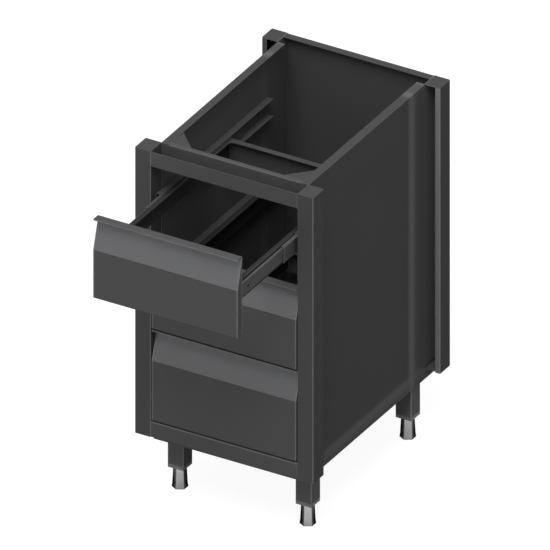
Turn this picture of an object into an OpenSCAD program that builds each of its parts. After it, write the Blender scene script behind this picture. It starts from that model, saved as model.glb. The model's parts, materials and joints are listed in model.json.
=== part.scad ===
// Base unit of a canteen serving counter: a folded sheet carcass that is open at the
// top, with three drawers that carry food containers, on four adjustable feet.
// Millimetres. x runs to the right, y to the back, z up from the floor. The origin is
// on the floor under the middle of the unit with its top drawer pulled out.

/* [Carcass] */
// Width over the outer faces of the posts
body_w = 450; // [420:5:700]
// Depth from the front plane to the back of the unit
body_d = 600; // [580:5:760]
// Height of the posts and panels
body_h = 720; // [700:5:800]
// Height of the posts' lower ends above the floor
stand_h = 160; // [140:5:220]
// Thickness of the folded sheet
sheet_t = 1.2; // [0.8:0.1:1.6]
// Inner radius of a fold
fold_r = 1.4; // [0.8:0.1:2]
// Width of a front post
post_w = 40; // [38:1:44]
// Depth of a front post
post_d = 48; // [44:1:52]
// Width of the flange along the top of a side panel
side_flange_w = 20; // [14:1:26]
// Depth of a rear corner post
rear_post_d = 45; // [38:1:52]
// Width of the lip on a rear corner post
rear_lip_w = 12; // [8:1:16]
// Depth of the flange along the top of the back panel
back_flange_w = 20; // [14:1:26]
// Height of the rail over the drawers
top_rail_h = 38; // [36:0.5:44]
// Depth of the lip behind the top rail
top_rail_lip_w = 10; // [6:0.5:14]
// Height of the rail under the drawers
bottom_rail_h = 40; // [36:1:46]
// Leg of a corner gusset along the top rail
gusset_w = 59.5; // [44:0.5:70]
// Leg of a corner gusset along the side flange
gusset_d = 63; // [50:1:75]
// Thickness of a corner gusset
gusset_t = 1.5; // [1:0.1:2]
// Height of the base tray's skirt below the panels
skirt_h = 24; // [18:1:28]
// Distance of the base tray's front edge behind the front plane
tray_front = 14; // [6:0.5:40]
// Height of the turned-down edge along the tray's front
tray_lip_h = 10.5; // [6:0.5:16]

/* [Legs and feet] */
// Side of a square leg tube
leg_w = 40; // [36:1:44]
// Wall of a leg tube
leg_wall = 1.5; // [1.2:0.1:2]
// Outer radius of a leg tube's corners
leg_corner_r = 1.8; // [1.7:0.1:3.5]
// Distance of a leg's outer face from the side panel's outer face
leg_inset = 4.9; // [4.8:0.1:12]
// Distance of the front legs behind the front plane
leg_front = 67.6; // [62:0.2:90]
// Distance of the rear legs in front of the back of the unit
leg_back = 55.6; // [46:0.2:70]
// Thickness of a leg's mounting plate
leg_plate_t = 3; // [2:0.5:4]
// Thickness of the collar that closes a leg tube
collar_t = 8.5; // [3:0.5:10]
// Depth of the collar's plug inside the tube
plug_h = 22; // [16:1:26]
// Height of a foot
foot_h = 53; // [50:0.5:66]
// Width of a six-sided foot over its corners, at its neck
foot_neck_d = 30; // [26:0.5:32]
// Width of a foot over its corners, above its flare
foot_waist_d = 34.5; // [32:0.5:36]
// Width of a foot over its corners, on the floor
foot_base_d = 37.5; // [36:0.5:39.5]
// Height of the flare
flare_h = 9; // [6:0.5:12]
// Diameter of the foot's spindle
spindle_d = 12; // [10:1:14]
// Length of the foot's spindle above the foot
spindle_len = 48; // [40:1:55]

/* [Drawers] */
// Gap around a drawer front
front_gap = 3; // [2:0.25:3.5]
// Height of the top drawer's front
top_front_h = 199; // [190:1:205]
// Height of the middle drawer's front
middle_front_h = 203; // [190:1:206]
// Depth of a drawer front's sides
front_t = 20; // [18:0.5:20.5]
// Depth of the grip's lip, from its nose to the fold behind it
grip_d = 22; // [20.5:0.5:26]
// Height of the nose along the lip's front edge
nose_h = 3; // [2.8:0.1:8]
// Height of the grip and the slope below it
slope_h = 77; // [66:1:88]
// Distance of the container frame's top below the top of the front
frame_drop = 72.5; // [66:0.5:80]
// Width of the ledge along each side that a container's rim lies on
ledge_w = 11.8; // [9:0.2:14]
// Height of the turned-down edge along a ledge
ledge_lip_h = 5; // [4.5:0.1:8]
// Width of the ledge at the back and the front
end_ledge_w = 16; // [12:1:18]
// Radius of the container well's corners
well_r = 12; // [8:1:16]
// Height of the frame's side rails
rail_h = 50; // [46:1:56]
// Height of the frame's rear bar
rear_bar_h = 58; // [50:1:64]
// Distance of the frame's rear end in front of the unit's back
frame_back = 32.4; // [26:0.2:50]
// How far the top drawer stands open
top_open = 256; // [150:1:340]

/* [Runners] */
// Length of a runner
runner_len = 485; // [450:5:500]
// Length of the member in between
between_len = 420; // [380:5:440]
// Room between a closed drawer's front and the runners
runner_room = 2; // [1.5:0.5:5]
// Room for a runner between side panel and drawer rail
runner_t = 18.3; // [18:0.1:20]
// Height of a runner's outer member
runner_h = 45; // [44:0.5:46]
// Wall of the runner members
runner_wall = 1.8; // [1.4:0.1:2]
// Depth of the inner member
inner_d = 6; // [5.8:0.1:9]
// Running clearance between the members
run_gap = 0.4; // [0.3:0.1:0.6]
// Room for screw heads between the inner member and the member in between
head_room = 1.8; // [1.6:0.1:2]
// Distance of a runner's centre line below the top of the frame
runner_drop = 23.5; // [23.2:0.1:27]
// Diameter of a runner screw's shank
screw_d = 4; // [3:0.5:5]
// Diameter of a runner screw's head
screw_head_d = 7; // [6:0.5:8]
// Height of a runner screw's head
screw_head_h = 1.2; // [0.8:0.1:1.4]

/* [Hidden] */
$fn = 48;
cut = 1;
fold_steps = 3;
seam = 0.1;
half_w = body_w / 2;
top_z = stand_h + body_h;
front_y = -(body_d - top_open) / 2;
post_x = half_w - post_w;
inner_x = post_x;
panel_x = inner_x + sheet_t;
rear_post_y = body_d - rear_post_d;
back_y = body_d - sheet_t;
tray_z = stand_h - sheet_t;
leg_x = panel_x - leg_inset - leg_w / 2;
plate_room = 0.3;
leg_plate_lip = leg_inset - sheet_t - fold_r - plate_room;
leg_ys = [leg_front + leg_w / 2, body_d - leg_back - leg_w / 2];
leg_top = tray_z - leg_plate_t;
leg_low = foot_h + collar_t;
front_w = 2 * (post_x - front_gap);
bottom_front_h = body_h - top_rail_h - bottom_rail_h - top_front_h - middle_front_h - 4 * front_gap;
top_front_z = top_z - top_rail_h - front_gap;
middle_front_z = top_front_z - top_front_h - front_gap;
bottom_front_z = middle_front_z - middle_front_h - front_gap;
wall_x = inner_x - runner_t;
ledge_x = wall_x - ledge_w;
rail_x = wall_x - sheet_t - fold_r;
frame_end = body_d - frame_back;
spindle_gap = 0.08;
screw_gap = 0.05;
screw_inset = 40.6;
screw_tail = 1;
runner_front = front_t + runner_room;
runner_end = runner_front + runner_len;
outer_tip = wall_x + 1.5 * run_gap;
between_h = runner_h - 2 * runner_wall - 2 * run_gap;
between_tip = outer_tip + 1.5 * run_gap;
between_share = 0.5;
inner_h = between_h - 2 * runner_wall - 2 * run_gap;
inner_face_x = wall_x + inner_d;
between_web = inner_face_x + head_room + runner_wall;
slope_rise = slope_h - sheet_t;
slope_len = norm([grip_d, slope_rise]);
backing_room = 0.3;
backing_setback = front_t - sheet_t - backing_room - sheet_t * slope_len / slope_rise;
backing_top = slope_h - backing_setback * slope_rise / grip_d;
side_top = slope_h - front_t * slope_rise / grip_d;
screw_places = [screw_inset, runner_len / 2, runner_len - screw_inset];
dark = "#3b3c3e";
darker = "#2c2d2f";
zinc = "#4b4c4f";
chrome = "#d8dade";
plastic = "#9a9c9e";

// Folded sheet: an outline of sharp corners becomes a sheet with rounded folds. The
// material lies on the left of the outline, seen along it.
function unit(v) = v / norm(v);
function left_of(v) = [-v[1], v[0]];
function turn(a, b, c) = cross(b - a, c - b);
function pushed(a, b, c, t) =
    let (n = left_of(unit(b - a)), m = left_of(unit(c - b))) b + t * (n + m) / (1 + n * m);
function pushed_path(p, t) = [for (i = [0 : len(p) - 1])
    i == 0 ? p[0] + t * left_of(unit(p[1] - p[0])) :
    i == len(p) - 1 ? p[i] + t * left_of(unit(p[i] - p[i - 1])) :
    pushed(p[i - 1], p[i], p[i + 1], t)];
function swing(a, b) = let (d = b - a) d > 180 ? d - 360 : d < -180 ? d + 360 : d;
function arc(a, b, c, r) =
    let (u = unit(a - b), v = unit(c - b),
         half = acos(u * v) / 2,
         mid = b + unit(u + v) * r / sin(half),
         p = b + u * r / tan(half) - mid,
         q = b + v * r / tan(half) - mid,
         start = atan2(p[1], p[0]),
         sweep = swing(start, atan2(q[1], q[0])))
    [for (i = [0 : fold_steps]) mid + r * [cos(start + sweep * i / fold_steps),
                                           sin(start + sweep * i / fold_steps)]];
// Outer skin of the folds: wide on the outside of a left turn, tight in a right turn
function skin(p, t, r) = concat([p[0]],
    [for (i = [1 : 1 : len(p) - 2])
        each arc(p[i - 1], p[i], p[i + 1], turn(p[i - 1], p[i], p[i + 1]) > 0 ? r + t : r)],
    [p[len(p) - 1]]);
function back_skin(p, t, r) = let (b = pushed_path(p, t)) concat([b[0]],
    [for (i = [1 : 1 : len(b) - 2])
        each arc(b[i - 1], b[i], b[i + 1], turn(b[i - 1], b[i], b[i + 1]) > 0 ? r : r + t)],
    [b[len(b) - 1]]);
function reversed(p) = [for (i = [len(p) - 1 : -1 : 0]) p[i]];

module folded(path, t = sheet_t, r = fold_r) {
    polygon(concat(skin(path, t, r), reversed(back_skin(path, t, r))));
}

module along_x(x0, x1) translate([x0, 0, 0]) rotate([90, 0, 90]) linear_extrude(x1 - x0) children();
module along_y(y0, y1) translate([0, y1, 0]) rotate([90, 0, 0]) linear_extrude(y1 - y0) children();
module along_z(z0, z1) translate([0, 0, z0]) linear_extrude(z1 - z0) children();
module box(from, to) translate(from) cube(to - from);
module rounded_box(from, to, r) {
    translate(from + [r, 0]) square(to - from - [2 * r, 0]);
    translate(from + [0, r]) square(to - from - [0, 2 * r]);
    for (x = [from[0] + r, to[0] - r], y = [from[1] + r, to[1] - r]) translate([x, y]) circle(r);
}
module on_left() mirror([1, 0, 0]) children();
module both_sides() {
    children();
    on_left() children();
}
module carcass_frame() translate([0, front_y, 0]) children();

// Side panel with its flange, for the right-hand side
module side_panel() color(dark) carcass_frame() {
    along_y(post_d, rear_post_y)
        folded([[panel_x, stand_h], [panel_x, top_z], [panel_x - side_flange_w, top_z]]);
    box([inner_x, rear_post_y - seam, stand_h], [panel_x, back_y, top_z]);
}

module back_panel() color(dark) carcass_frame() {
    along_x(-inner_x, inner_x)
        folded([[body_d, stand_h], [body_d, top_z], [body_d - back_flange_w, top_z]]);
    both_sides() box([inner_x - seam, back_y, stand_h], [panel_x, body_d, top_z]);
}

// Front post: a closed tube with a cap
module front_post() color(dark) carcass_frame() {
    outer_r = fold_r + sheet_t;
    difference() {
        along_z(stand_h, top_z) rounded_box([post_x, 0], [half_w, post_d], outer_r);
        along_z(stand_h - cut, top_z - sheet_t)
            rounded_box([post_x + sheet_t, sheet_t], [half_w - sheet_t, post_d - sheet_t], fold_r);
    }
}

// Rear corner post: a channel that is open to the front, with a cap on it
module rear_post() color(dark) carcass_frame() {
    along_z(stand_h, top_z)
        folded([[half_w - rear_lip_w, rear_post_y], [half_w, rear_post_y],
                [half_w, body_d], [panel_x, body_d]]);
    along_z(top_z - sheet_t, top_z) {
        rounded_box([panel_x, rear_post_y], [half_w, body_d], fold_r + sheet_t);
        translate([panel_x, rear_post_y]) square([post_w / 2, rear_post_d]);
    }
}

module top_rail() color(dark) carcass_frame() {
    low = top_z - top_rail_h;
    high = top_z - sheet_t;
    lip_x = panel_x - side_flange_w;
    path = [[0, top_z], [0, low], [post_d, low]];
    along_x(-lip_x, lip_x)
        folded(concat(path, [[post_d, high], [post_d + top_rail_lip_w, high]]));
    for (x = [-post_x, lip_x])
        along_x(x, x + post_x - lip_x) folded(concat(path, [[post_d, top_z]]));
}

module bottom_rail() color(dark) carcass_frame() {
    high = stand_h + bottom_rail_h;
    along_x(-post_x, post_x)
        folded([[post_d, high], [0, high], [0, stand_h], [post_d, stand_h]]);
}

// Base tray: a sheet turned down on all four sides, whose front reaches under the rail
module base_tray() color(dark) carcass_frame() {
    low = stand_h - skirt_h;
    along_y(post_d, body_d)
        folded([[panel_x, low], [panel_x, stand_h], [-panel_x, stand_h], [-panel_x, low]]);
    along_x(-inner_x, inner_x)
        folded([[post_d + seam, stand_h], [tray_front, stand_h], [tray_front, stand_h - tray_lip_h]]);
    box([-inner_x, back_y, low], [inner_x, body_d, stand_h - seam]);
}

// Corner gusset, under the side flange and under the top rail's lip
module gusset() color(dark) carcass_frame() {
    flange_x = panel_x - side_flange_w;
    high = top_z - sheet_t;
    near = post_d + fold_r;
    far = post_d + gusset_d;
    along_z(high - gusset_t, high)
        polygon([[flange_x - gusset_w, near], [inner_x - fold_r, near],
                 [inner_x - fold_r, far], [flange_x, far]]);
}

module at_leg(y) carcass_frame() translate([leg_x, y, 0]) children();
module centred_square(w, r) rounded_box([-w / 2, -w / 2], [w / 2, w / 2], r);

module leg(y) color(dark) at_leg(y) difference() {
    along_z(leg_low, leg_top) centred_square(leg_w, leg_corner_r);
    along_z(leg_low - cut, leg_top + cut)
        centred_square(leg_w - 2 * leg_wall, leg_corner_r - leg_wall);
}

module leg_plates() color(dark) for (y = leg_ys) both_sides() at_leg(y)
    along_z(leg_top, tray_z) centred_square(leg_w + 2 * leg_plate_lip, fold_r);

// Collar: plugs the tube's end and guides the foot's spindle
module leg_collars() color(plastic) for (y = leg_ys) both_sides() at_leg(y) difference() {
    union() {
        along_z(foot_h, leg_low) centred_square(leg_w, leg_corner_r);
        along_z(leg_low - seam, leg_low + plug_h)
            centred_square(leg_w - 2 * leg_wall - 2 * spindle_gap, fold_r);
    }
    along_z(foot_h - cut, leg_low + plug_h + cut) circle(spindle_d / 2 + spindle_gap);
}

// Foot: a six-sided body that widens from its neck to a flare over the floor
module foot(y) color(chrome) at_leg(y) {
    rotate(30) rotate_extrude($fn = 6)
        polygon([[0, 0], [foot_base_d / 2, 0], [foot_waist_d / 2, flare_h], [foot_neck_d / 2, foot_h],
                 [0, foot_h]]);
    along_z(flare_h, foot_h + spindle_len) circle(d = spindle_d);
}

// Runners: a tube that slides in a channel, which slides in a wider channel, shown for the
// right-hand side with their centre line at a height of zero
module channel(web_x, tip_x, h) {
    folded([[tip_x, -h / 2], [web_x, -h / 2], [web_x, h / 2], [tip_x, h / 2]], runner_wall,
           runner_wall / 2);
}
module screw_bores(x0, x1) for (y = screw_places)
    translate([x0, runner_front + y, 0]) rotate([0, 90, 0])
        cylinder(d = screw_d + 2 * screw_gap, h = x1 - x0);
module runner_outer() both_sides() difference() {
    along_y(runner_front, runner_end) channel(inner_x, outer_tip, runner_h);
    screw_bores(inner_x - runner_wall - cut, inner_x + cut);
}
module runner_between() both_sides()
    along_y(runner_end - between_len, runner_end) channel(between_web, between_tip, between_h);
module runner_inner() both_sides() difference() {
    along_y(runner_front, runner_end)
        rounded_box([wall_x, -inner_h / 2], [inner_face_x, inner_h / 2], 1.5 * runner_wall);
    along_y(runner_front - cut, runner_end + cut)
        rounded_box([wall_x + runner_wall, runner_wall - inner_h / 2],
                    [inner_face_x - runner_wall, inner_h / 2 - runner_wall], runner_wall / 2);
    screw_bores(wall_x - cut, inner_face_x + cut);
}
// Screw along x: its head lies on the web, its tail comes out behind the sheet
module screw(head_x, sign, grip) translate([head_x, 0, 0]) rotate([0, sign * 90, 0]) {
    cylinder(d1 = screw_head_d, d2 = screw_head_d - screw_head_h, h = screw_head_h);
    translate([0, 0, -grip]) cylinder(d = screw_d, h = grip + seam);
}

drawer_tops = [top_front_z, middle_front_z, bottom_front_z];
drawer_heights = [top_front_h, middle_front_h, bottom_front_h];
drawer_opens = [top_open, 0, 0];
module runner_place(i, open) color(zinc) carcass_frame()
    translate([0, -open, drawer_tops[i] - frame_drop - runner_drop]) children();
module runner_screws() for (i = [0 : 2]) runner_place(i, 0)
    both_sides() for (y = screw_places) translate([0, runner_front + y, 0])
        screw(inner_x - runner_wall, -1, runner_wall);

// A drawer is drawn closed, with the top of its front at a height of zero
module drawer_place(i) carcass_frame() translate([0, -drawer_opens[i], drawer_tops[i]]) children();
module drawer_front(i) color(dark) drawer_place(i) {
    h = drawer_heights[i];
    lip = [[sheet_t, -nose_h], [sheet_t, -sheet_t], [grip_d, -sheet_t]];
    face = [[0, -slope_h], [0, -h], [front_t, -h]];
    along_x(-front_w / 2, front_w / 2) folded(concat(lip, face));
    for (x = [-front_w / 2, front_w / 2 - sheet_t])
        along_x(x, x + sheet_t)
            polygon(skin(concat([[front_t, -side_top]], face), sheet_t, fold_r));
}
module drawer_backing(i) color(darker) drawer_place(i)
    box([-front_w / 2 + sheet_t, front_t - sheet_t, -drawer_heights[i] + sheet_t],
        [front_w / 2 - sheet_t, front_t, -backing_top]);
module frame_place(i) drawer_place(i) translate([0, 0, -frame_drop]) children();
module drawer_rail(i) color(dark) frame_place(i) difference() {
    path = [[wall_x, -rail_h], [wall_x, 0], [ledge_x, 0]];
    lip_y0 = front_t + end_ledge_w + well_r;
    lip_y1 = frame_end - end_ledge_w - well_r;
    union() {
        along_y(front_t, lip_y0) folded(path);
        along_y(lip_y0, lip_y1) folded(concat(path, [[ledge_x, -ledge_lip_h]]));
        along_y(lip_y1, frame_end) folded(path);
    }
    translate([0, 0, -runner_drop]) screw_bores(wall_x - sheet_t - cut, wall_x + cut);
}
// Corner of the container well, where two ledges meet
module well_corner(x, y, dir) translate([x, y, -sheet_t]) linear_extrude(sheet_t) difference() {
    translate([-well_r, dir > 0 ? 0 : -well_r]) square(well_r);
    translate([-well_r, dir * well_r]) circle(well_r);
}
module rear_bar(i) color(dark) frame_place(i) {
    wall_y = frame_end - sheet_t;
    along_x(-ledge_x, ledge_x)
        folded([[frame_end, -rear_bar_h], [frame_end, 0], [frame_end - end_ledge_w, 0]]);
    both_sides() {
        box([ledge_x - seam, wall_y, -rear_bar_h], [rail_x, frame_end, -sheet_t]);
        well_corner(ledge_x, frame_end - end_ledge_w, -1);
    }
}
module front_bar(i) color(dark) frame_place(i) {
    end_y = front_t + end_ledge_w;
    along_x(-ledge_x, ledge_x) folded([[end_y, 0], [front_t, 0], [front_t, -rail_h]]);
    both_sides() {
        box([ledge_x - seam, front_t, -rail_h], [rail_x, front_t + sheet_t, -sheet_t]);
        well_corner(ledge_x, end_y, 1);
    }
}
module drawer_runner_inner(i) color(zinc) frame_place(i)
    translate([0, 0, -runner_drop]) runner_inner();
module drawer_screws(i) color(zinc) frame_place(i) translate([0, 0, -runner_drop])
    both_sides() for (y = screw_places) translate([0, runner_front + y, 0])
        screw(inner_face_x, 1, inner_d + sheet_t + screw_tail);

on_left() side_panel();  // left_side_panel
side_panel();  // right_side_panel
back_panel();
on_left() front_post();  // left_front_post
front_post();  // right_front_post
on_left() rear_post();  // left_rear_post
rear_post();  // right_rear_post
top_rail();
bottom_rail();
base_tray();
on_left() gusset();  // left_gusset
gusset();  // right_gusset
on_left() leg(leg_ys[0]);  // front_left_leg
leg(leg_ys[0]);  // front_right_leg
on_left() leg(leg_ys[1]);  // rear_left_leg
leg(leg_ys[1]);  // rear_right_leg
leg_plates();
leg_collars();
on_left() foot(leg_ys[0]);  // front_left_foot
foot(leg_ys[0]);  // front_right_foot
on_left() foot(leg_ys[1]);  // rear_left_foot
foot(leg_ys[1]);  // rear_right_foot
runner_place(0, 0) runner_outer();  // top_runner_outer
runner_place(1, 0) runner_outer();  // middle_runner_outer
runner_place(2, 0) runner_outer();  // bottom_runner_outer
runner_screws();
runner_place(0, between_share * top_open) runner_between();  // top_runner_between
runner_place(1, 0) runner_between();  // middle_runner_between
runner_place(2, 0) runner_between();  // bottom_runner_between
drawer_front(0);  // top_front
drawer_backing(0);  // top_backing
on_left() drawer_rail(0);  // top_left_rail
drawer_rail(0);  // top_right_rail
rear_bar(0);  // top_rear_bar
front_bar(0);  // top_front_bar
drawer_runner_inner(0);  // top_runner_inner
drawer_screws(0);  // top_screws
drawer_front(1);  // middle_front
drawer_backing(1);  // middle_backing
on_left() drawer_rail(1);  // middle_left_rail
drawer_rail(1);  // middle_right_rail
rear_bar(1);  // middle_rear_bar
front_bar(1);  // middle_front_bar
drawer_runner_inner(1);  // middle_runner_inner
drawer_screws(1);  // middle_screws
drawer_front(2);  // bottom_front
drawer_backing(2);  // bottom_backing
on_left() drawer_rail(2);  // bottom_left_rail
drawer_rail(2);  // bottom_right_rail
rear_bar(2);  // bottom_rear_bar
front_bar(2);  // bottom_front_bar
drawer_runner_inner(2);  // bottom_runner_inner
drawer_screws(2);  // bottom_screws
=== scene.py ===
"""Looks of a canteen counter's base unit: folded sheet, runners, screws, feet and studio."""

import json
import math

import bmesh
import bpy
from bpy.props import FloatProperty, FloatVectorProperty, PointerProperty
from bpy.types import Operator, Panel, PropertyGroup
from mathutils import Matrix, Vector


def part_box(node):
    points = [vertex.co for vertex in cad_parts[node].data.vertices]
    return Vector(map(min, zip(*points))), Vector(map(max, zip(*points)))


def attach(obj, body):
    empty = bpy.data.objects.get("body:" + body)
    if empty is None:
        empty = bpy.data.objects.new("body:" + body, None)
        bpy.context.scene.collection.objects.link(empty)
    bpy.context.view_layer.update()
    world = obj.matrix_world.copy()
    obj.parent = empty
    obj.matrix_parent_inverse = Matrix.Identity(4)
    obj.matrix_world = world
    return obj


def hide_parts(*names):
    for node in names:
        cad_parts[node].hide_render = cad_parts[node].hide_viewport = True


bl_info = {
    "name": "Counter Base Unit Looks",
    "version": (1, 0, 0),
    "blender": (4, 5, 0),
    "location": "3D View > Sidebar > Counter",
    "description": "Finishes the folded sheet, runners, screws and feet of a counter base unit",
    "category": "Object",
}

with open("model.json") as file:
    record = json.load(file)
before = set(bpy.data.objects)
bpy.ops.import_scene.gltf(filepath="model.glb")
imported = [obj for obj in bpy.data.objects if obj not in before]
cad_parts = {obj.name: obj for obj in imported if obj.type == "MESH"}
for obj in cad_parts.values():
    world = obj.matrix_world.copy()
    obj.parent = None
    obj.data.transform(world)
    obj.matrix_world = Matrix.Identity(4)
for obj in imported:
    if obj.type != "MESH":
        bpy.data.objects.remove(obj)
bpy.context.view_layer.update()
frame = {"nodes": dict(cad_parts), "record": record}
FEET = ("front_left_foot", "front_right_foot", "rear_left_foot", "rear_right_foot")
POST_LOW, POST_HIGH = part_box("left_front_post")
PANEL_LOW, PANEL_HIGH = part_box("right_side_panel")
REAR_LOW, REAR_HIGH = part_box("right_rear_post")
TRAY_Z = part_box("base_tray")[0].z
COLLAR_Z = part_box("leg_collars")[0].z
MM = 0.001

# How each look of the folded sheet differs from the plain one: factors on its colour, on its
# arris colour and on its arris width, and inputs of the arris mask. The looks are lit and
# shaded copies of one sheet: their colour factors are painted light and painted shade (lighter
# rails, drawer fronts and legs, darker drawer ledges), and the arris colour is a painted
# highlight.
SHEET_LOOKS = {
    "dark_sheet": {},
    "dark_panel": {},
    "dark_corner": {},
    "rail_sheet": {"shade": 1.16},
    "drawer_sheet": {"shade": 1.16, "reach": 1.9, "Edge_Gain": 4.0, "Level_Share": 0.08},
    "ledge_sheet": {"shade": 0.55, "reach": 0.6},
    "leg_tube": {"shade": 1.6, "arris_shade": 1.6},
}
# Factors on a side panel's colour, all painted light: the raised field lighter, its slopes a
# painted highlight, the rear end lighter against the corner post's shade, and the inside faces
# lighter
RAISED_PAINTED_LIGHT = 1.2
SLOPE_PAINTED_HIGHLIGHT = 1.6
REAR_END_PAINTED_LIGHT = 3.0
INSIDE_PAINTED_LIGHT = 1.4


# Sizes and colours

class SheetFinish(PropertyGroup):
    """Colour and gloss of the folded sheet"""
    colour: FloatVectorProperty(
        name="Colour", description="Colour of the sheet's flat faces", subtype="COLOR",
        size=3, min=0, max=1, default=(0.060, 0.0605, 0.062))
    # The arris colour is a painted highlight along folds and cut edges, not rubbed wear; the
    # arris width is how far the painted highlight reaches.
    arris_highlight_colour: FloatVectorProperty(
        name="Arris colour",
        description="Colour along folds and cut edges, where the coat is rubbed bright",
        subtype="COLOR", size=3, min=0, max=1, default=(0.21, 0.212, 0.215))
    arris_width: FloatProperty(
        name="Arris width", description="How far from an edge the lighter colour reaches",
        subtype="DISTANCE", unit="LENGTH", min=0, max=10 * MM, default=2.4 * MM)
    roughness: FloatProperty(
        name="Roughness", description="Roughness of the sheet's coat", subtype="FACTOR",
        min=0, max=1, default=0.34)
    shine: FloatProperty(
        name="Shine", description="Share of bare metal's reflection in the coat",
        subtype="FACTOR", min=0, max=1, default=0.2)
    step_depth: FloatProperty(
        name="Pressed step",
        description="Depth of the soft step pressed along two edges of a side panel",
        subtype="DISTANCE", unit="LENGTH", min=0, max=20 * MM, default=6 * MM)
    step_width: FloatProperty(
        name="Step width", description="Width over which the pressed step slopes",
        subtype="DISTANCE", unit="LENGTH", min=5 * MM, max=80 * MM, default=40 * MM)


class RunnerFinish(PropertyGroup):
    """Colour and gloss of the runners"""
    colour: FloatVectorProperty(
        name="Colour", description="Colour of the drawn runner members", subtype="COLOR",
        size=3, min=0, max=1, default=(0.09, 0.0905, 0.092))
    roughness: FloatProperty(
        name="Roughness", description="Roughness of the drawn steel", subtype="FACTOR",
        min=0, max=1, default=0.34)
    shine: FloatProperty(
        name="Shine", description="Share of bare metal's reflection in the steel",
        subtype="FACTOR", min=0, max=1, default=0.35)


class ScrewFinish(PropertyGroup):
    """Sizes and colour of the runners' screws"""
    head: FloatProperty(
        name="Head", description="Diameter of a screw's head",
        subtype="DISTANCE", unit="LENGTH", min=4 * MM, max=10 * MM, default=6.9 * MM)
    rise: FloatProperty(
        name="Rise", description="Height of a screw's head",
        subtype="DISTANCE", unit="LENGTH", min=0.6 * MM, max=1.8 * MM, default=1.2 * MM)
    slot: FloatProperty(
        name="Recess", description="Width of one arm of the cross recess",
        subtype="DISTANCE", unit="LENGTH", min=0.3 * MM, max=2 * MM, default=0.9 * MM)
    colour: FloatVectorProperty(
        name="Colour", description="Colour of the blackened screws", subtype="COLOR",
        size=3, min=0, max=1, default=(0.03, 0.03, 0.031))


class FootFinish(PropertyGroup):
    """Sizes and colours of the six-sided feet and the collars above them"""
    neck: FloatProperty(
        name="Neck", description="Width of a foot over its corners, at its neck",
        subtype="DISTANCE", unit="LENGTH", min=20 * MM, max=40 * MM, default=30 * MM)
    waist: FloatProperty(
        name="Waist", description="Width of a foot over its corners, above its flare",
        subtype="DISTANCE", unit="LENGTH", min=20 * MM, max=40 * MM, default=34.5 * MM)
    base: FloatProperty(
        name="Base", description="Width of a foot over its corners, on the floor",
        subtype="DISTANCE", unit="LENGTH", min=30 * MM, max=50 * MM, default=37.5 * MM)
    flare: FloatProperty(
        name="Flare", description="Height of the flare over the floor",
        subtype="DISTANCE", unit="LENGTH", min=4 * MM, max=20 * MM, default=9 * MM)
    soft: FloatProperty(
        name="Edge rounding", description="How far a foot's edges are rounded",
        subtype="DISTANCE", unit="LENGTH", min=0.2 * MM, max=2 * MM, default=0.7 * MM)
    spindle: FloatProperty(
        name="Spindle", description="Diameter of the threaded spindle",
        subtype="DISTANCE", unit="LENGTH", min=8 * MM, max=16 * MM, default=12 * MM)
    pitch: FloatProperty(
        name="Thread pitch", description="Height of one turn of the spindle's thread",
        subtype="DISTANCE", unit="LENGTH", min=1 * MM, max=3 * MM, default=1.75 * MM)
    colour: FloatVectorProperty(
        name="Colour", description="Colour of the polished foot", subtype="COLOR",
        size=3, min=0, max=1, default=(0.7, 0.705, 0.71))
    roughness: FloatProperty(
        name="Roughness", description="Roughness of the polished foot", subtype="FACTOR",
        min=0, max=1, default=0.13)
    collar_colour: FloatVectorProperty(
        name="Collar colour", description="Colour of the moulded collar", subtype="COLOR",
        size=3, min=0, max=1, default=(0.125, 0.126, 0.128))


class StudioSettings(PropertyGroup):
    """Floor, lamps and camera"""
    azimuth: FloatProperty(
        name="Azimuth", description="Angle of the camera to the right of the front",
        subtype="ANGLE", unit="ROTATION", default=math.radians(30))
    elevation: FloatProperty(
        name="Elevation", description="Angle of the camera above the horizon",
        subtype="ANGLE", unit="ROTATION", default=math.radians(30))
    view_width: FloatProperty(
        name="View width", description="Width of what the camera sees",
        subtype="DISTANCE", unit="LENGTH", min=0.1, max=10, default=1.2017)
    corner_right: FloatProperty(
        name="Corner to centre, across",
        description="Distance in the view from the left post's top corner to the centre",
        subtype="DISTANCE", unit="LENGTH", default=0.3065)
    corner_down: FloatProperty(
        name="Corner to centre, down",
        description="Distance in the view from the left post's top corner down to the centre",
        subtype="DISTANCE", unit="LENGTH", default=0.2793)
    key: FloatProperty(
        name="Key lamp", description="Power of the soft lamp above the front",
        subtype="POWER", unit="POWER", min=0, max=5000, default=980)
    strip: FloatProperty(
        name="Front lamp",
        description="Power of the broad lamp at floor level that the slopes mirror",
        subtype="POWER", unit="POWER", min=0, max=5000, default=750)
    fill: FloatProperty(
        name="Sky", description="Strength of the even light from all sides", subtype="FACTOR",
        min=0, max=1, default=0.75)


# Shader nodes

def node_group(name, inputs, outputs):
    """A new group of number sockets, with its input and output nodes."""
    group = bpy.data.node_groups.new(name, "ShaderNodeTree")
    for label, value in inputs.items():
        socket = group.interface.new_socket(
            name=label, in_out="INPUT", socket_type="NodeSocketFloat")
        socket.default_value = value
    for label in outputs:
        group.interface.new_socket(name=label, in_out="OUTPUT", socket_type="NodeSocketFloat")
    given = group.nodes.new("NodeGroupInput").outputs
    return group, given, group.nodes.new("NodeGroupOutput").inputs


def add(tree, kind, values=None, **settings):
    """A new node with its settings, and its inputs set to values or linked to sockets."""
    node = tree.nodes.new(kind)
    for key, value in settings.items():
        setattr(node, key, value)
    for key, value in (values or {}).items():
        if isinstance(value, bpy.types.NodeSocket):
            tree.links.new(value, node.inputs[key])
        else:
            node.inputs[key].default_value = value
    return node


def maths(tree, operation, a, b=0.0, clamp=False):
    """The output of a math node."""
    return add(tree, "ShaderNodeMath", {0: a, 1: b},
               operation=operation, use_clamp=clamp).outputs[0]


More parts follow.
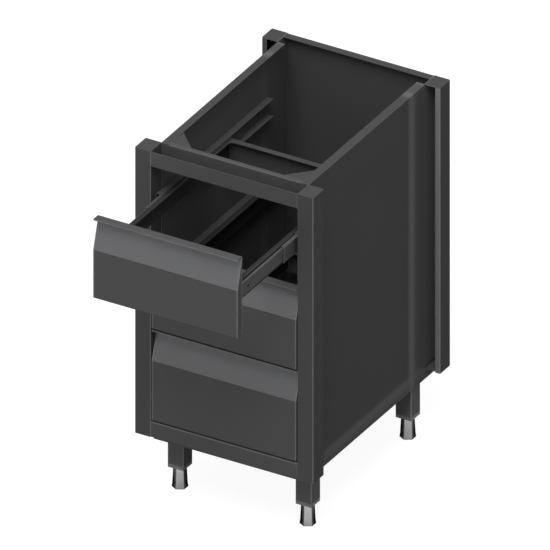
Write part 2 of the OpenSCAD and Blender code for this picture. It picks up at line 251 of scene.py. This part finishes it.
def object_place(tree):
    """The place of a shaded point in its object's coordinates, which are the room's."""
    return add(tree, "ShaderNodeTexCoord").outputs["Object"]


def surface_normal(tree):
    """The unbumped normal of a shaded point."""
    return add(tree, "ShaderNodeNewGeometry").outputs["Normal"]


def split(tree, vector):
    """The X, Y and Z outputs of a vector."""
    return add(tree, "ShaderNodeSeparateXYZ", {0: vector}).outputs


def make_arris_group(name):
    """Mask of the painted highlight on folds and cut edges: 1 on the edge, 0 a width away,
    weaker on level edges.
    """
    square_on = 0.94  # a normal's largest share from which its face doesn't count as a fold
    level_gain = 3.0  # how soon a normal that leans upward counts as a level edge's
    group, given, out = node_group(
        name,
        {"Width": 2 * MM, "Edge Gain": 2.5, "Fold Gain": 6.0, "Level Share": 0.25,
         "Unevenness": 0.2},
        ["Mask"])
    rounded = add(group, "ShaderNodeBevel", {"Radius": given["Width"]}, samples=8).outputs[0]
    dot = add(group, "ShaderNodeVectorMath", {0: rounded, 1: surface_normal(group)},
              operation="DOT_PRODUCT")
    turned = maths(group, "SUBTRACT", 1.0, dot.outputs["Value"])
    size = add(group, "ShaderNodeVectorMath", {0: rounded}, operation="ABSOLUTE").outputs[0]
    x, y, z = split(group, size)
    nearest = maths(group, "MAXIMUM", maths(group, "MAXIMUM", x, y), z)
    slanted = maths(group, "MAXIMUM", maths(group, "SUBTRACT", square_on, nearest), 0.0)
    mask = maths(group, "MAXIMUM", maths(group, "MULTIPLY", turned, given["Edge Gain"]),
                 maths(group, "MULTIPLY", slanted, given["Fold Gain"]), clamp=True)
    lying = maths(group, "MULTIPLY", z, level_gain, clamp=True)
    less = maths(group, "MULTIPLY", lying, maths(group, "SUBTRACT", 1.0, given["Level Share"]))
    noise = add(group, "ShaderNodeTexNoise",
                {"Vector": object_place(group), "Scale": 70.0, "Detail": 4.0})
    uneven = maths(group, "MULTIPLY", noise.outputs["Fac"], given["Unevenness"])
    share = maths(group, "SUBTRACT", maths(group, "SUBTRACT", 1.0, uneven), less)
    group.links.new(maths(group, "MULTIPLY", mask, share, clamp=True), out["Mask"])
    return group


def make_rolled_group(name):
    """Grain of rolled and coated sheet: soft clouds, fine orange peel and wiped patches."""
    group, given, out = node_group(
        name, {"Clouds": 0.06, "Peel Scale": 700.0}, ["Shade", "Wiped", "Height"])
    place = object_place(group)
    clouds = add(group, "ShaderNodeTexNoise", {"Vector": place, "Scale": 5.0, "Detail": 3.0})
    around = maths(group, "SUBTRACT", clouds.outputs["Fac"], 0.5)
    shade = maths(group, "ADD", 1.0, maths(group, "MULTIPLY", around, given["Clouds"]))
    wiped = add(group, "ShaderNodeTexNoise",
                {"Vector": place, "Scale": 14.0, "Detail": 6.0, "Distortion": 0.6})
    peel = add(group, "ShaderNodeTexNoise",
               {"Vector": place, "Scale": given["Peel Scale"], "Detail": 2.0})
    group.links.new(shade, out["Shade"])
    group.links.new(wiped.outputs["Fac"], out["Wiped"])
    group.links.new(peel.outputs["Fac"], out["Height"])
    return group


def make_step_group(name):
    """A soft step along a panel's rear and lower edges: its height, and a mask of its slopes
    that carries a painted highlight.
    """
    full = 4.0  # brings r (1 - r) to 1 halfway up a slope
    group, given, out = node_group(
        name, {"Rear": 0.3, "Low": 0.2, "Width": 40 * MM, "Low Share": 0.45},
        ["Height", "Slope"])
    axes = split(group, object_place(group))
    rises = []
    for axis, edge, sign in (("Y", "Rear", 1.0), ("Z", "Low", -1.0)):
        past = maths(group, "MULTIPLY", maths(group, "SUBTRACT", axes[axis], given[edge]), sign)
        along = maths(group, "ADD", maths(group, "DIVIDE", past, given["Width"]), 0.5, clamp=True)
        rises.append(add(group, "ShaderNodeMapRange", {"Value": along},
                         interpolation_type="SMOOTHSTEP").outputs[0])
    rear, low = (maths(group, "MULTIPLY", rise, maths(
        group, "SUBTRACT", full, maths(group, "MULTIPLY", rise, full))) for rise in rises)
    low = maths(group, "MULTIPLY", low, given["Low Share"])
    group.links.new(maths(group, "MAXIMUM", *rises), out["Height"])
    group.links.new(maths(group, "MAXIMUM", rear, low), out["Slope"])
    return group


def make_lathe_group(name):
    """Fine rings that a lathe leaves around an upright axis."""
    group, given, out = node_group(name, {"Spacing": 0.4 * MM}, ["Height", "Shade"])
    place = object_place(group)
    turns = maths(group, "DIVIDE", split(group, place)["Z"], given["Spacing"])
    ring = maths(group, "SINE", maths(group, "MULTIPLY", turns, math.tau))
    smear = add(group, "ShaderNodeTexNoise", {"Vector": place, "Scale": 60.0, "Detail": 3.0})
    group.links.new(ring, out["Height"])
    group.links.new(smear.outputs["Fac"], out["Shade"])
    return group


GROUPS = {"arris_mask": make_arris_group, "rolled_sheet": make_rolled_group,
          "pressed_step": make_step_group, "lathe_rings": make_lathe_group}


def placed(tree, name, **values):
    """The outputs of a shared node group, built once and placed here with its own values."""
    node = tree.nodes.new("ShaderNodeGroup")
    node.node_tree = bpy.data.node_groups.get(name) or GROUPS[name](name)
    for key, value in values.items():
        node.inputs[key.replace("_", " ")].default_value = value
    return node.outputs


def mixed(tree, mask, a, b, **settings):
    """A mix of two colours by a mask."""
    first, second, result = 6, 7, 2  # the places of a mix node's sockets for colours
    node = add(tree, "ShaderNodeMix", {0: mask}, data_type="RGBA", **settings)
    for key, value in ((first, a), (second, b)):
        if isinstance(value, bpy.types.NodeSocket):
            tree.links.new(value, node.inputs[key])
        else:
            node.inputs[key].default_value = (*value, 1.0)
    return node.outputs[result]


def scaled(tree, colour, shade):
    """A colour scaled by a value that changes over the surface."""
    grey = add(tree, "ShaderNodeCombineColor", {0: shade, 1: shade, 2: shade}).outputs[0]
    return mixed(tree, 1.0, colour, grey, blend_type="MULTIPLY")


def times(colour, factor):
    """A colour scaled by one number."""
    return tuple(min(1.0, factor * part) for part in colour)


def towards_rear(tree):
    """Mask that rises over the rear end of a side panel, where the corner post shades it; there
    painted light lightens the colour.
    """
    ahead, foot, soft = 15 * MM, 4 * MM, 12 * MM  # where it starts, and its ramp in height
    axes = split(tree, object_place(tree))
    ramps = [add(tree, "ShaderNodeMapRange", {
                 0: axes[axis], 1: low, 2: high, 3: 0.0, 4: 1.0}).outputs[0]
             for axis, low, high in (
                 ("Y", REAR_LOW.y - ahead, REAR_HIGH.y),
                 ("Z", PANEL_LOW.z + foot, PANEL_LOW.z + foot + soft))]
    return maths(tree, "MULTIPLY", *ramps)


def facing_inward(tree):
    """Mask of the faces of a side panel that look into the carcass, which painted light lightens.
    """
    across = split(tree, surface_normal(tree))["X"]
    side = maths(tree, "SIGN", split(tree, object_place(tree))["X"])
    return maths(tree, "MULTIPLY", maths(tree, "MULTIPLY", across, side), -1.0, clamp=True)


def facing_front(tree, limit, share):
    """Mask, up to a share, of faces that look to the front and lie before a limit in depth."""
    ahead = maths(tree, "MULTIPLY", split(tree, surface_normal(tree))["Y"], -1.0, clamp=True)
    before = maths(tree, "LESS_THAN", split(tree, object_place(tree))["Y"], limit)
    return maths(tree, "MULTIPLY", maths(tree, "MULTIPLY", ahead, share), before)


# Materials

def new_material(name):
    """An empty material with its tree, its surface shader's inputs and its output's surface."""
    material = bpy.data.materials.new(name)
    material.use_nodes = True
    tree = material.node_tree
    tree.nodes.clear()
    shader = add(tree, "ShaderNodeBsdfPrincipled")
    surface = add(tree, "ShaderNodeOutputMaterial").inputs["Surface"]
    tree.links.new(shader.outputs[0], surface)
    return material, tree, shader.inputs, surface


def bump(tree, height, strength, distance):
    """A bump node."""
    return add(tree, "ShaderNodeBump",
               {"Height": height, "Strength": strength, "Distance": distance})


def metal_sheet(name, finish, colour, arris_highlight_colour, arris_width, **arris):
    """Coated sheet or drawn steel: clouds and peel on the faces, and a painted highlight that
    lightens folds and cut edges.
    """
    patchy = 0.08  # how much rougher the wiped patches are
    # where the rear post's lip ends in depth, and the share of the painted highlight on its front
    # face
    post_lip, lip_highlight_share = 3 * MM, 0.75
    material, tree, shader, _ = new_material(name)
    rolled = placed(tree, "rolled_sheet")
    edges = placed(tree, "arris_mask", Width=arris_width, **arris)["Mask"]
    face = scaled(tree, colour, rolled["Shade"])
    peel = bump(tree, rolled["Height"], strength=0.03, distance=0.2 * MM)
    if name == "dark_panel":
        face = pressed_face(tree, finish, face, peel)
    # The right rear post gets a painted highlight on the front face of its lip.
    if name == "dark_corner":
        rubbed = facing_front(tree, REAR_LOW.y + post_lip, lip_highlight_share)
        edges = maths(tree, "MAXIMUM", edges, rubbed)
    tree.links.new(mixed(tree, edges, face, arris_highlight_colour), shader["Base Color"])
    rough = maths(tree, "ADD", finish.roughness - patchy / 2,
                  maths(tree, "MULTIPLY", rolled["Wiped"], patchy))
    tree.links.new(rough, shader["Roughness"])
    tree.links.new(peel.outputs[0], shader["Normal"])
    shader["Metallic"].default_value = finish.shine
    shader["Specular IOR Level"].default_value = 0.0
    shader["Specular Tint"].default_value = (0.25, 0.25, 0.25, 1.0)
    return material


def pressed_face(tree, finish, face, peel):
    """Presses the step of a side panel under its peel, and returns the face's colour with painted
    light on its raised field, its slopes, its rear end and its inside faces.
    """
    before_post, over_tray = 57 * MM, 26 * MM  # where the slopes' middles lie
    pressed = placed(tree, "pressed_step", Rear=REAR_LOW.y - before_post,
                     Low=TRAY_Z + over_tray, Width=finish.step_width)
    under = bump(tree, pressed["Height"], strength=1.0, distance=finish.step_depth)
    tree.links.new(under.outputs[0], peel.inputs["Normal"])
    for mask, factor in ((pressed["Height"], RAISED_PAINTED_LIGHT), (pressed["Slope"], SLOPE_PAINTED_HIGHLIGHT),
                         (towards_rear(tree), REAR_END_PAINTED_LIGHT),
                         (facing_inward(tree), INSIDE_PAINTED_LIGHT)):
        face = mixed(tree, mask, face, times(finish.colour, factor))
    return face


def polished(name, colour, roughness):
    """Polished metal with fine rings, and a painted dark reflection where the surface turns away.
    """
    smear = 0.2  # how much the smears change the shade
    turned, gain, dim = 0.2, 3.0, 0.12  # where it starts to darken, how fast, and how far
    material, tree, shader, _ = new_material(name)
    rings = placed(tree, "lathe_rings")
    shade = maths(tree, "ADD", 1 - smear / 2, maths(tree, "MULTIPLY", rings["Shade"], smear))
    face = scaled(tree, colour, shade)
    # painted dark reflection on the sides that turn away from the view
    aside = add(tree, "ShaderNodeLayerWeight", {"Blend": 0.5}).outputs["Facing"]
    painted_dark_sides = maths(tree, "MULTIPLY", maths(tree, "SUBTRACT", aside, turned), gain, clamp=True)
    tree.links.new(mixed(tree, painted_dark_sides, face, times(colour, dim)), shader["Base Color"])
    turned_rings = bump(tree, rings["Height"], strength=0.05, distance=0.05 * MM)
    tree.links.new(turned_rings.outputs[0], shader["Normal"])
    shader["Metallic"].default_value = 1.0
    shader["Roughness"].default_value = roughness
    shader["Specular Tint"].default_value = (0.05, 0.05, 0.05, 1.0)
    return material


def moulded(name, colour):
    """Moulded plastic with a fine grain, and a painted highlight along its edges."""
    material, tree, shader, _ = new_material(name)
    rolled = placed(tree, "rolled_sheet", Peel_Scale=1400.0, Clouds=0.1)
    edges = placed(tree, "arris_mask", Width=1.2 * MM, Fold_Gain=0.0)["Mask"]
    face = scaled(tree, colour, rolled["Shade"])
    tree.links.new(mixed(tree, edges, face, times(colour, 1.5)), shader["Base Color"])
    grain = bump(tree, rolled["Height"], strength=0.08, distance=0.2 * MM)
    tree.links.new(grain.outputs[0], shader["Normal"])
    shader["Roughness"].default_value = 0.55
    return material


def dress(node, material):
    """Gives a CAD node its material."""
    mesh = frame["nodes"][node].data
    mesh.materials.clear()
    mesh.materials.append(material)


# Shapes

def new_object(name, data):
    """An object in the scene."""
    thing = bpy.data.objects.new(name, data)
    bpy.context.scene.collection.objects.link(thing)
    return thing


def new_piece(name, mesh, material, body):
    """A piece of the object with its material, riding on its body."""
    mesh.materials.append(material)
    piece = new_object(name, mesh)
    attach(piece, body)
    return piece


def loft(shape, rows):
    """Joins rows of points, each a closed outline, and closes the first and the last."""
    rows = [[shape.verts.new(point) for point in row] for row in rows]
    for low, high in zip(rows, rows[1:]):
        for i in range(len(low)):
            j = (i + 1) % len(low)
            shape.faces.new((low[i], low[j], high[j], high[i]))
    shape.faces.new(rows[0])
    shape.faces.new(rows[-1])


def upright(centre):
    """Places points of a revolved shape about an upright axis through centre."""
    return lambda radius, angle, height: centre + Vector(
        (radius * math.cos(angle), radius * math.sin(angle), height))


def level(centre, direction):
    """Places points of a revolved shape about a left to right axis through centre."""
    return lambda radius, angle, height: centre + Vector(
        (direction * height, radius * math.cos(angle), radius * math.sin(angle)))


def revolve(shape, profile, place, around):
    """Turns a profile of (radius, height) about an axis. A radius may depend on the angle."""
    angles = [math.tau * i / around for i in range(around)]
    rings = []
    for radius, height in profile:
        if radius == 0:
            rings.append([shape.verts.new(place(0, 0, height))])
        else:
            rings.append([shape.verts.new(place(
                radius(a) if callable(radius) else radius, a, height)) for a in angles])
    for low, high in zip(rings, rings[1:]):
        for i in range(around):
            j = (i + 1) % around
            if len(low) == 1:
                shape.faces.new((low[0], high[j], high[i]))
            elif len(high) == 1:
                shape.faces.new((low[i], low[j], high[0]))
            else:
                shape.faces.new((low[i], low[j], high[j], high[i]))


def finished_mesh(shape, name, sharp_degrees=35):
    """The mesh of a built shape, smooth except over sharp edges."""
    sharp = math.radians(sharp_degrees)
    bmesh.ops.recalc_face_normals(shape, faces=shape.faces)
    for face in shape.faces:
        face.smooth = True
    for edge in shape.edges:
        edge.smooth = not (edge.is_manifold and edge.calc_face_angle(0) > sharp)
    mesh = bpy.data.meshes.new(name)
    shape.to_mesh(mesh)
    shape.free()
    return mesh


# Operators

def sheet_look(node):
    """The look of a CAD node that is folded sheet, or None."""
    if any(word in node for word in ("runner", "screws", "foot", "collar")):
        return None
    if node.endswith("side_panel") or node == "base_tray":
        return "dark_panel"
    if node == "right_rear_post":
        return "dark_corner"
    if node in ("top_rail", "bottom_rail"):
        return "rail_sheet"
    if node.endswith("_front"):
        return "drawer_sheet"
    if node.endswith(("left_rail", "right_rail", "front_bar")):
        return "ledge_sheet"
    return "leg_tube" if node.endswith("_leg") else "dark_sheet"


class COUNTER_OT_dress_sheet(Operator):
    """Finish the carcass and the drawers as dark coated sheet"""
    bl_idname = "counter.dress_sheet"
    bl_label = "Dress Sheet"

    def execute(self, context):
        finish = context.scene.counter_sheet
        looks = {name: self.make_look(name, finish, **changes)
                 for name, changes in SHEET_LOOKS.items()}
        for node in frame["nodes"]:
            look = sheet_look(node)
            if look:
                dress(node, looks[look])
        return {"FINISHED"}

    def make_look(self, name, finish, shade=1.0, arris_shade=1.0, reach=1.0, **arris):
        """The material of one look of the folded sheet."""
        return metal_sheet(name, finish, times(finish.colour, shade),
                           times(finish.arris_highlight_colour, arris_shade),
                           reach * finish.arris_width, **arris)


class COUNTER_OT_fill_seams(Operator):
    """Fill the side panels' welded seams and close the lower ends of the rear posts"""
    bl_idname = "counter.fill_seams"
    bl_label = "Fill Seams"

    def execute(self, context):
        panel = bpy.data.materials["dark_panel"]
        for side, sign in (("left", -1), ("right", 1)):
            shape = bmesh.new()
            self.add_strip(shape, sign)
            self.add_fillet(shape, sign)
            self.add_tab(shape, sign)
            name = side + "_seam"
            new_piece(name, finished_mesh(shape, name), panel, "carcass")
        return {"FINISHED"}

    def add_strip(self, shape, sign):
        """The weld between a side panel and the base tray, ground nearly flush."""
        half = ((0, 9), (0.12, 6), (0.3, 2))  # how far it stands out, how far from its middle
        gap, sunk = 0.2 * MM, 3 * MM
        face, middle = PANEL_HIGH.x, PANEL_LOW.z
        outline = [(face + out * MM, middle - away * MM) for out, away in half]
        outline += [(face + out * MM, middle + away * MM) for out, away in reversed(half)]
        outline += [(face - sunk, outline[-1][1]), (face - sunk, outline[0][1])]
        loft(shape, [[(sign * x, y, z) for x, z in outline]
                     for y in (POST_HIGH.y + gap, REAR_LOW.y - gap)])

    def add_fillet(self, shape, sign):
        """A hollow fillet of weld where a side panel meets the back of its front post."""
        size, sunk, short = 1.2 * MM, 0.5 * MM, 1 * MM
        x, y = PANEL_HIGH.x, POST_HIGH.y
        arc = [(x + size * (1 - math.sin(a)), y + size * (1 - math.cos(a)))
               for a in (math.radians(d) for d in range(0, 91, 15))]
        outline = arc + [(x - sunk, y + size), (x - sunk, y - sunk), (x + size, y - sunk)]
        loft(shape, [[(sign * across, back, z) for across, back in outline]
                     for z in (PANEL_LOW.z + short, PANEL_HIGH.z - short)])

    def add_tab(self, shape, sign):
        """A thin tab that closes the lower end of a rear corner post."""
        gap, clear, thick = 0.2 * MM, 1.4 * MM, 1.2 * MM
        left, right = PANEL_HIGH.x + gap, REAR_HIGH.x - clear
        front, back = REAR_LOW.y + clear, REAR_HIGH.y - clear
        low = REAR_LOW.z + clear
        loft(shape, [[(sign * x, y, z) for x, y in
                      ((left, front), (right, front), (right, back), (left, back))]
                     for z in (low, low + thick)])


class COUNTER_OT_dress_runners(Operator):
    """Finish the runner members as drawn steel"""
    bl_idname = "counter.dress_runners"
    bl_label = "Dress Runners"

    def execute(self, context):
        finish = context.scene.counter_runner
        # The runners' lighter arris colour is a painted highlight along their edges.
        steel = metal_sheet("runner_steel", finish, finish.colour,
                            arris_highlight_colour=times(finish.colour, 3), arris_width=1.4 * MM)
        for node in frame["nodes"]:
            if "runner" in node and "screws" not in node:
                dress(node, steel)
        return {"FINISHED"}


class COUNTER_OT_drive_screws(Operator):
    """Set domed screws with a cross recess into the runners"""
    bl_idname = "counter.drive_screws"
    bl_label = "Drive Screws"

    def execute(self, context):
        sizes = context.scene.counter_screw
        # The screws' lighter arris colour is a painted highlight along their edges.
        black = metal_sheet("screw_steel", context.scene.counter_runner, sizes.colour,
                            arris_highlight_colour=times(sizes.colour, 2.5), arris_width=0.4 * MM,
                            Fold_Gain=0.0)
        body_of = {node: body for body, nodes in frame["record"]["behaviour"]["bodies"].items()
                   for node in nodes}
        for node in [n for n in frame["nodes"] if n.endswith("screws")]:
            shape = bmesh.new()
            for centre, direction, grip in self.seats(node, sizes.head):
                self.add_screw(shape, sizes, centre, direction, grip)
            name = node + "_driven"
            piece = new_piece(name, finished_mesh(shape, name), black, body_of[node])
            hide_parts(node)
        return {"FINISHED"}

    def seats(self, node, head):
        """For each screw of a CAD node: the middle under its head, its direction, its grip."""
        longest, thinnest = 50 * MM, 0.1 * MM
        apart, outer = 2 * head, 0.45 * head  # between two screws, and where a head's rim lies
        groups = []
        for vertex in frame["nodes"][node].data.vertices:
            point = vertex.co.copy()
            near = next((g for g in groups if abs(g[0].x - point.x) < longest and math.hypot(
                g[0].y - point.y, g[0].z - point.z) < apart), None)
            if near is None:
                groups.append([point])
            else:
                near.append(point)
        for points in groups:
            low, high = (Vector([pick(p[i] for p in points) for i in range(3)])
                         for pick in (min, max))
            middle = (low + high) / 2
            rim = [p.x for p in points
                   if math.hypot(p.y - middle.y, p.z - middle.z) > outer]
            seat = sum(rim) / len(rim)
            direction = 1 if high.x - seat < seat - low.x else -1
            if abs(high.x - seat) < thinnest or abs(seat - low.x) < thinnest:
                raise RuntimeError(node + ": a screw's head wasn't found")
            end = low.x if direction > 0 else high.x
            yield Vector((seat, middle.y, middle.z)), direction, abs(seat - end)

    def add_screw(self, shape, sizes, centre, direction, grip):
        """One screw: plain shank, domed head and a cross recess."""
        head, shank, point = sizes.head / 2, 2 * MM, 0.3 * MM
        rim = 0.25  # share of the head's height below its dome
        # The recess: its arms' reach in shares of the head's radius, its height in shares of
        # the head's height, at the mouth, at the foot of its walls and in the middle
        mouth, wall_foot, middle = (0.5, 0.93), (0.42, 0.3), (0, 0.2)
        least = 0.1  # keeps the arms' divisor off zero

        def cross(reach):
            return lambda angle: min(reach, sizes.slot / max(abs(math.sin(2 * angle)), least))

        profile = [(0, -grip), (shank - point, -grip), (shank, point - grip), (shank, 0)]
        profile += [(head, 0), (head, rim * sizes.rise)]
        profile += [(head * math.cos(a), sizes.rise * (rim + (1 - rim) * math.sin(a)))
                    for a in (math.radians(d) for d in (25, 40, 50))]
        profile += [(cross(share * head), height * sizes.rise)
                    for share, height in (mouth, wall_foot)]
        profile += [(middle[0], middle[1] * sizes.rise)]
        revolve(shape, profile, level(centre, direction), around=40)


class COUNTER_OT_shape_feet(Operator):
    """Shape the polished six-sided feet with their threaded spindles, and finish the collars"""
    bl_idname = "counter.shape_feet"
    bl_label = "Shape Feet"

    def execute(self, context):
        sizes = context.scene.counter_foot
        bright = polished("bright_foot", sizes.colour, sizes.roughness)
        for node in FEET:
            low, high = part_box(node)
            centre = Vector(((low.x + high.x) / 2, (low.y + high.y) / 2, low.z))
            shape = self.six_sided(sizes, centre, COLLAR_Z)
            self.add_spindle(shape, sizes, centre, COLLAR_Z, high.z - low.z)
            name = node + "_shaped"
            foot = new_piece(name, finished_mesh(shape, name, sharp_degrees=50), bright,
                             node + "_body")
            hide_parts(node)
        dress("leg_collars", moulded("collar_plastic", sizes.collar_colour))
        return {"FINISHED"}

    def six_sided(self, sizes, centre, height):
        """A six-sided body with its edges rounded, flats to the left and right."""
        shape = bmesh.new()
        corners = [math.tau * i / 6 for i in range(6)]
        loft(shape, [[centre + Vector((width / 2 * math.sin(a), width / 2 * math.cos(a), z))
                      for a in corners]
                     for width, z in ((sizes.base, 0), (sizes.waist, sizes.flare),
                                      (sizes.neck, height))])
        bmesh.ops.recalc_face_normals(shape, faces=shape.faces)
        bmesh.ops.bevel(shape, geom=list(shape.edges), offset=sizes.soft, segments=3,
                        profile=0.5, affect="EDGES", clamp_overlap=True)
        rounded = shape.copy()  # keeps the order of later faces the same from run to run
        shape.free()
        return rounded

    def add_spindle(self, shape, sizes, centre, height, top):
        """A threaded spindle that rises out of a body of some height, up to its top."""
        crest, depth, sunk = sizes.spindle / 2, 0.5 * MM, 3 * MM
        plain, end = 0.5 * MM, 1 * MM
        steep = 0.3  # share of the pitch over which the thread drops to its root
        root = crest - depth
        profile = [(0, height - sunk), (crest, height - sunk), (crest, height + plain)]
        for i in range(int((top - height - plain - end) / sizes.pitch)):
            z = height + plain + i * sizes.pitch
            profile += [(root, z + steep * sizes.pitch), (crest, z + sizes.pitch)]
        revolve(shape, profile + [(root, top), (0, top)], upright(centre), around=32)


def aim(thing, location, direction):
    """Moves a lamp or a camera to a place and turns it to look in a direction."""
    thing.location = location
    thing.rotation_mode = "QUATERNION"
    thing.rotation_quaternion = direction.to_track_quat("-Z", "Y")


def sent_on(tree, path):
    """1 for rays that gloss or glass sends on, 0 for others."""
    return maths(tree, "MAXIMUM", path["Is Glossy Ray"], path["Is Transmission Ray"])


class COUNTER_OT_set_stage(Operator):
    """Set up the pale floor, the lamps and the camera at the photograph's angle"""
    bl_idname = "counter.set_stage"
    bl_label = "Set Stage"

    def execute(self, context):
        studio = context.scene.counter_studio
        self.make_floor()
        self.make_world(studio.fill)
        self.make_lamp("key_lamp", side=(0.1, -0.45, 0.88), size=(5.4, 5.4), power=studio.key)
        front = self.make_lamp("front_lamp", side=(-0.433, -0.9, -0.02), size=(8.0, 3.4),
                               power=studio.strip)
        front.visible_diffuse = False
        self.make_camera(studio)
        context.scene.view_settings.view_transform = "Standard"
        return {"FINISHED"}

    def make_lamp(self, name, side, size, power):
        """A soft rectangular lamp that looks at the middle of the unit from one side."""
        middle, distance = Vector((0, 0.1, 0.5)), 10
        data = bpy.data.lights.new(name, "AREA")
        data.shape = "RECTANGLE"
        data.size, data.size_y = size
        data.energy = power
        lamp = new_object(name, data)
        location = middle + Vector(side).normalized() * distance
        aim(lamp, location, middle - location)
        return lamp

    def make_floor(self):
        """A pale floor that shows white, keeps a soft shadow and is mirrored darkly."""
        half_size = 30
        shape = bmesh.new()
        bmesh.ops.create_grid(shape, x_segments=1, y_segments=1, size=half_size)
        mesh = bpy.data.meshes.new("floor")
        shape.to_mesh(mesh)
        shape.free()
        floor = new_object("floor", mesh)
        material, tree, shader, surface = new_material("pale_floor")
        shader["Base Color"].default_value = (0.3, 0.3, 0.3, 1.0)
        shader["Roughness"].default_value = 0.9
        shader["Specular IOR Level"].default_value = 0.0
        lit = surface.links[0].from_socket
        path = add(tree, "ShaderNodeLightPath").outputs
        shown = self.lit_white(tree, glow=0.92, grey=0.12)
        mirrored = self.lit_white(tree, glow=0.02, grey=0.4)
        first = add(tree, "ShaderNodeMixShader", {0: sent_on(tree, path), 1: lit, 2: mirrored})
        second = add(tree, "ShaderNodeMixShader",
                     {0: path["Is Camera Ray"], 1: first.outputs[0], 2: shown})
        tree.links.new(second.outputs[0], surface)
        mesh.materials.append(material)

    def lit_white(self, tree, glow, grey):
        """White that glows, and takes shadows with the rest."""
        white = add(tree, "ShaderNodeEmission", {"Color": (1.0, 1.0, 1.0, 1.0), "Strength": glow})
        shade = add(tree, "ShaderNodeBsdfDiffuse", {"Color": (grey, grey, grey, 1.0)})
        return add(tree, "ShaderNodeAddShader",
                   {0: white.outputs[0], 1: shade.outputs[0]}).outputs[0]

    def make_world(self, fill):
        """An even sky that lights with a share of the white that it shows."""
        world = bpy.data.worlds.new("studio_sky")
        world.use_nodes = True
        bpy.context.scene.world = world
        tree = world.node_tree
        tree.nodes.clear()
        path = add(tree, "ShaderNodeLightPath").outputs
        seen = maths(tree, "MAXIMUM", path["Is Camera Ray"], sent_on(tree, path))
        strength = maths(tree, "ADD", fill, maths(tree, "MULTIPLY", seen, 1.0 - fill))
        sky = add(tree, "ShaderNodeBackground",
                  {"Color": (1.0, 1.0, 1.0, 1.0), "Strength": strength})
        add(tree, "ShaderNodeOutputWorld", {"Surface": sky.outputs[0]})

    def make_camera(self, studio):
        """A parallel view whose frame is placed by the left post's top corner."""
        distance = 4
        a, e = studio.azimuth, studio.elevation
        back = Vector((math.sin(a) * math.cos(e), -math.cos(a) * math.cos(e), math.sin(e)))
        right = Vector((math.cos(a), math.sin(a), 0))
        up = back.cross(right)
        corner = Vector((POST_LOW.x, POST_LOW.y, POST_HIGH.z))
        centre = corner + right * studio.corner_right - up * studio.corner_down
        data = bpy.data.cameras.new("photo_camera")
        data.type = "ORTHO"
        data.ortho_scale = studio.view_width
        data.clip_start, data.clip_end = 0.1, 100
        camera = new_object("photo_camera", data)
        aim(camera, centre + back * distance, -back)
        bpy.context.scene.camera = camera


class COUNTER_PT_looks(Panel):
    """Tools that finish the counter's base unit"""
    bl_idname = "COUNTER_PT_looks"
    bl_label = "Counter Base Unit"
    bl_space_type = "VIEW_3D"
    bl_region_type = "UI"
    bl_category = "Counter"

    def draw(self, context):
        for title, settings, steps in PANEL_ROWS:
            box = self.layout.box()
            box.label(text=title)
            group = getattr(context.scene, settings)
            for key in group.bl_rna.properties.keys():
                if key not in ("rna_type", "name"):
                    box.prop(group, key)
            for step in steps:
                box.operator(step)


PANEL_ROWS = (
    ("Sheet", "counter_sheet", ("counter.dress_sheet", "counter.fill_seams")),
    ("Runners", "counter_runner", ("counter.dress_runners",)),
    ("Screws", "counter_screw", ("counter.drive_screws",)),
    ("Feet", "counter_foot", ("counter.shape_feet",)),
    ("Studio", "counter_studio", ("counter.set_stage",)),
)
SETTINGS = {"counter_sheet": SheetFinish, "counter_runner": RunnerFinish,
            "counter_screw": ScrewFinish, "counter_foot": FootFinish,
            "counter_studio": StudioSettings}
CLASSES = (*SETTINGS.values(), COUNTER_OT_dress_sheet, COUNTER_OT_fill_seams,
           COUNTER_OT_dress_runners, COUNTER_OT_drive_screws, COUNTER_OT_shape_feet,
           COUNTER_OT_set_stage, COUNTER_PT_looks)


def register():
    """Adds the classes and puts their settings on the scene."""
    for cls in CLASSES:
        bpy.utils.register_class(cls)
    for name, settings in SETTINGS.items():
        setattr(bpy.types.Scene, name, PointerProperty(type=settings))


def unregister():
    """Takes away what register added."""
    for name in SETTINGS:
        delattr(bpy.types.Scene, name)
    for cls in reversed(CLASSES):
        bpy.utils.unregister_class(cls)


def main():
    """Builds the looks."""
    register()
    bpy.ops.counter.dress_sheet()
    bpy.ops.counter.fill_seams()
    bpy.ops.counter.dress_runners()
    bpy.ops.counter.drive_screws()
    bpy.ops.counter.shape_feet()
    bpy.ops.counter.set_stage()


if __name__ == "__main__":
    main()
